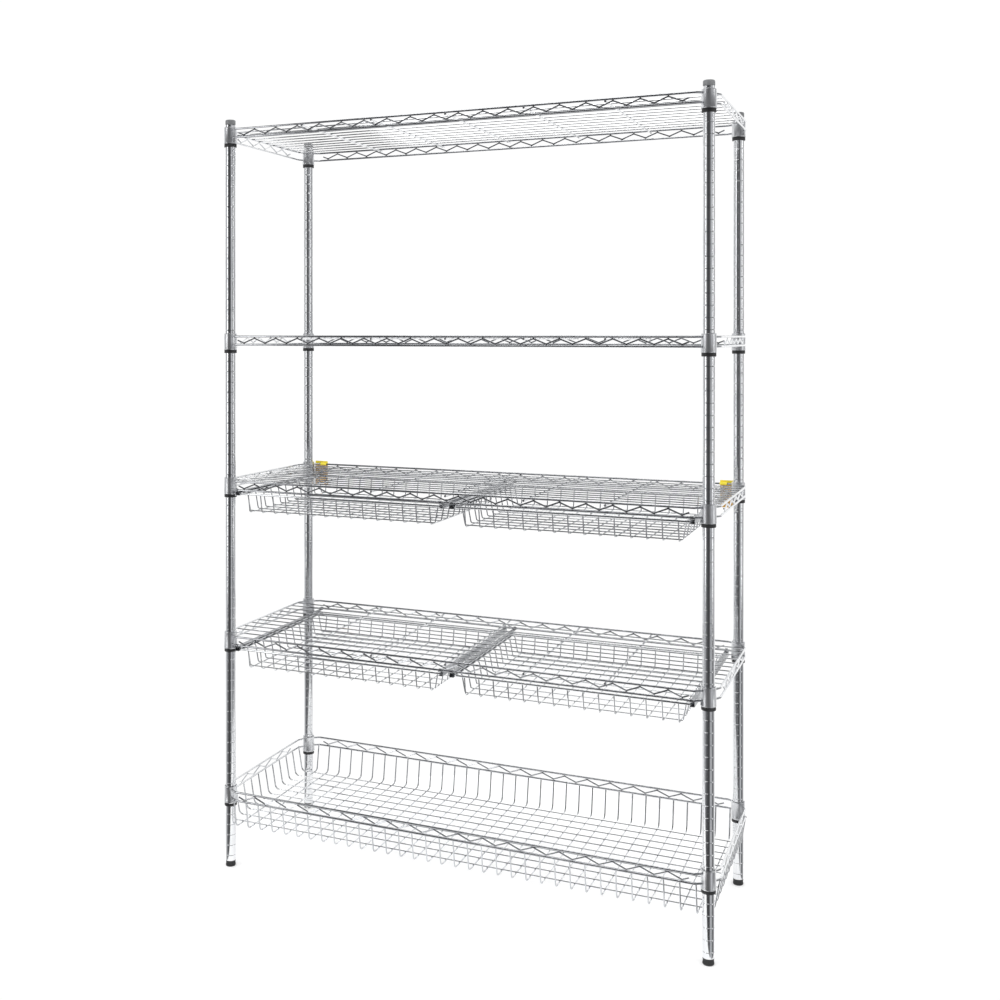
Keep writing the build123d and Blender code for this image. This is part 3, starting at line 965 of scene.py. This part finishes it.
@dataclass
class PullOutBaskets:
    """The four pull-out baskets: a rim frame with whole U-shaped wires both ways."""

    finish: bpy.types.Material
    centre_x: float = 283.0 * MM
    centre_y: float = -10.0 * MM
    half_x: float = 269.0 * MM
    half_y: float = 205.0 * MM
    depth: float = 45.0 * MM
    ledge: float = 15.0 * MM
    lean: float = 8.0 * MM
    rim: float = 2.5 * MM
    wire: float = 1.5 * MM

    def shape(self) -> bmesh.types.BMesh:
        """One basket in its own frame, with the rim's middle at the origin.

        Returns:
            The new bmesh.
        """
        mesh = bmesh.new()
        x, y, floor = self.half_x, self.half_y, -self.depth
        Rod(((-x, -y, 0.0), (x, -y, 0.0), (x, y, 0.0), (-x, y, 0.0)), self.rim, 9.0 * MM, sides=12,
            closed=True).draw(mesh)
        front = ((0.0, -y, 0.0), (0.0, -y + self.lean, floor), (0.0, y - self.lean, floor), (0.0, y, 0.0))
        repeated(mesh, Rod(front, self.wire, 7.0 * MM, sides=8), [(at, 0.0, 0.0) for at in row(15, 34.3 * MM)])
        high = floor + 2 * self.wire
        inner = x - self.ledge
        side = ((-x, 0.0, 0.0), (-inner, 0.0, 0.0), (-inner + self.lean, 0.0, high),
                (inner - self.lean, 0.0, high), (inner, 0.0, 0.0), (x, 0.0, 0.0))
        repeated(mesh, Rod(side, self.wire, 4.4 * MM, sides=8), [(0.0, at, 0.0) for at in row(11, 37.0 * MM)])
        for at in row(15, 34.3 * MM):
            for end in (-y, y):
                weld(mesh, (at, end, 0.0), (2.0 * MM, 2.8 * MM, 2.8 * MM))
        return mesh

    def build(self) -> None:
        """Make the four baskets, each on its own body."""
        source = self.shape()
        for level in (Level.MIDDLE, Level.LOWER):
            for name, side in (("left", -1.0), ("right", 1.0)):
                node = f"basket_{level.value}_{name}"
                rim_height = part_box(node)[1][2] - self.rim
                mesh = bmesh.new()
                place = (side * self.centre_x, self.centre_y, rim_height)
                copied(mesh, source, Matrix.Translation(place))
                install(mesh, f"wire_{node}", self.finish, node, node)
        source.free()


@dataclass
class Runners:
    """The folded sheet channels, which keep their built shape."""

    finish: bpy.types.Material

    def build(self) -> None:
        """Give each channel its plating."""
        for name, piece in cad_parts.items():
            if name.startswith("runners_"):
                dress(piece, self.finish)
                LOG.info("dressed %s", name)


def install(mesh: bmesh.types.BMesh, name: str, finish: bpy.types.Material, body: str, node: str) -> None:
    """Finish a wire piece and put it in the place of its plain node.

    Args:
        mesh: the shape, in the rack's frame.
        name: the piece's name.
        finish: its material.
        body: the body that it rides on.
        node: the node that it stands for.
    """
    piece = finish_mesh(mesh, name, finish)
    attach(piece, body)
    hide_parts(node)
    LOG.info("made %s", name)


def dress(piece: bpy.types.Object, finish: bpy.types.Material) -> None:
    """Give every slot of a carried-over piece one finish.

    Args:
        piece: the piece.
        finish: its material.
    """
    for index in range(len(piece.material_slots)):
        piece.material_slots[index].link = "OBJECT"
        piece.material_slots[index].material = finish


@dataclass
class Studio:
    """The pale floor, the soft lights, the pale room and the camera.

    The film is narrower than it is tall, so that a view from another side, which stands back by the
    film's width, keeps the whole rack in the frame of the shifted lens. The height alone sets how wide
    this view is.
    """

    floor_radius: float = 0.66
    flag_turn: float = 62.0
    dark: Colour = (0.035, 0.036, 0.04, 1.0)
    near_side: tuple[tuple[float, float], ...] = ((0.0, 0.45), (0.10, 0.12), (0.30, 0.05), (0.47, 0.05),
                                                  (0.57, 0.16), (0.68, 0.28), (0.73, 0.75), (0.79, 0.65),
                                                  (0.86, 0.10), (1.0, 0.28))
    eye: Point = (1.02805, -2.74639, 1.31373)
    heading: float = 23.7177
    tilt: float = -0.1819
    focal: float = 1.20471
    film: tuple[float, float] = (25.0, 36.0)
    shift: tuple[float, float] = (0.08714, -0.16193)

    def build(self) -> None:
        """Set up the whole studio."""
        self.lay_floor()
        self.light_room()
        self.hang_lights()
        self.place_camera()
        bpy.context.scene.view_settings.view_transform = "Standard"
        LOG.info("studio")

    def lay_floor(self) -> None:
        """Lay a plain pale round floor under the rack."""
        mesh = bmesh.new()
        bmesh.ops.create_circle(mesh, cap_ends=True, segments=96, radius=self.floor_radius)
        material = bpy.data.materials.new("pale_floor")
        material.use_nodes = True
        graph = Graph(material.node_tree)
        shader = graph.add("BsdfPrincipled", {"Base Color": (0.9, 0.9, 0.9, 1.0), "Roughness": 0.9,
                                              "Specular IOR Level": 0.2,
                                              "Emission Color": (1.0, 1.0, 1.0, 1.0), "Emission Strength": 0.2})
        graph.add("OutputMaterial", {"Surface": shader.outputs[0]})
        finish_mesh(mesh, "floor", material)

    def light_room(self) -> None:
        """Fill the room with pale light; chrome sees a pale backdrop, dark flags and a dark near side."""
        world = bpy.data.worlds.new("room")
        bpy.context.scene.world = world
        world.use_nodes = True
        graph = Graph(world.node_tree)
        direction = graph.add("TexCoord", {}).outputs["Generated"]
        pale: Union[Wire, None] = None
        for turn, edge, blur in ((0.0, 0.26, 0.20), (self.flag_turn, 0.0, 0.0), (-self.flag_turn, 0.0, 0.0)):
            angle = math.radians(self.heading + turn)
            axis = (-math.sin(angle), math.cos(angle), 0.0)
            facing = graph.value("VectorMath", {0: direction, 1: axis}, "Value", operation="DOT_PRODUCT")
            if blur:
                pale = graph.ranged(facing, (edge - blur, edge + blur), (0.0, 1.0))
            else:
                pale = pale * graph.ranged(facing, (0.982, 0.990), (1.0, 0.12))
        angle = math.radians(self.heading)
        across = graph.value("VectorMath", {0: direction, 1: (math.cos(angle), math.sin(angle), 0.0)}, "Value",
                             operation="DOT_PRODUCT")
        height = graph.value("SeparateXYZ", {0: direction}, 2)
        stops = tuple((place, (shade, shade * 1.01, shade * 1.05, 1.0)) for place, shade in self.near_side)
        band = graph.add("ValToRGB", {"Fac": graph.ranged(across, (-1.0, 1.0), (0.0, 1.0))}, stops=stops)
        near = graph.mixed(graph.ranged(height, (0.12, 0.5), (0.0, 1.0)), band.outputs[0], self.dark)
        mirrored = graph.add("LightPath", {}).outputs["Is Glossy Ray"]
        seen = graph.mixed(pale, near, (1.0, 1.0, 1.0, 1.0))
        colour = graph.mixed(Wire(graph.tree, mirrored), (1.0, 1.0, 1.0, 1.0), seen)
        background = graph.add("Background", {"Color": colour, "Strength": 1.03})
        graph.add("OutputWorld", {"Surface": background.outputs[0]})

    def hang_lights(self) -> None:
        """Hang a broad soft light over the rack and a tall one at each side."""
        lights = (("over", (0.0, -0.6, 4.0), (0.0, 0.0, 0.6), (2.6, 0.9), 30.0),
                  ("left", (-2.97, -3.38, 1.3), (0.0, 0.0, 0.9), (0.8, 3.0), 20.0),
                  ("right", (4.5, -0.1, 1.3), (0.0, 0.0, 0.9), (0.7, 3.0), 18.0))
        for name, place, target, size, power in lights:
            lamp = bpy.data.lights.new(name, "AREA")
            lamp.shape = "RECTANGLE"
            lamp.size, lamp.size_y = size
            lamp.energy = power
            holder = bpy.data.objects.new(name, lamp)
            holder.location = place
            holder.rotation_euler = (Vector(target) - Vector(place)).to_track_quat("-Z", "Y").to_euler()
            bpy.context.scene.collection.objects.link(holder)

    def place_camera(self) -> None:
        """Stand the camera at the front right, a little above the middle of the rack."""
        data = bpy.data.cameras.new("camera")
        data.sensor_fit = "VERTICAL"
        data.sensor_width, data.sensor_height = self.film
        data.lens = self.film[1] * self.focal
        data.shift_x, data.shift_y = self.shift
        data.clip_end = 100.0
        camera = bpy.data.objects.new("camera", data)
        camera.location = self.eye
        camera.rotation_euler = (math.radians(90.0 + self.tilt), 0.0, math.radians(self.heading))
        bpy.context.scene.collection.objects.link(camera)
        bpy.context.scene.camera = camera


def main() -> None:
    """Build every sub-assembly in order, then the studio."""
    logging.basicConfig(level=logging.INFO, format="%(message)s")
    finishes = Finishes()
    Posts(finishes.post).build()
    Caps(finishes.grey).build()
    Feet(finishes.black).build()
    Sleeves(finishes.black).build()
    Collars(finishes.collar).build()
    # frames: darker chrome as painted shade on front and rear, plain wire chrome on the sides
    Frames(finishes.edge, finishes.wire).build()
    Decks(finishes.wire).build()
    BottomFloor(finishes.wire).build()
    PullOutBaskets(finishes.wire).build()
    Runners(finishes.sheet).build()
    dress(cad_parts["foot_plugs"], finishes.black)
    dress(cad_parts["label_holders"], finishes.amber)
    Studio().build()


if __name__ == "__main__":
    main()
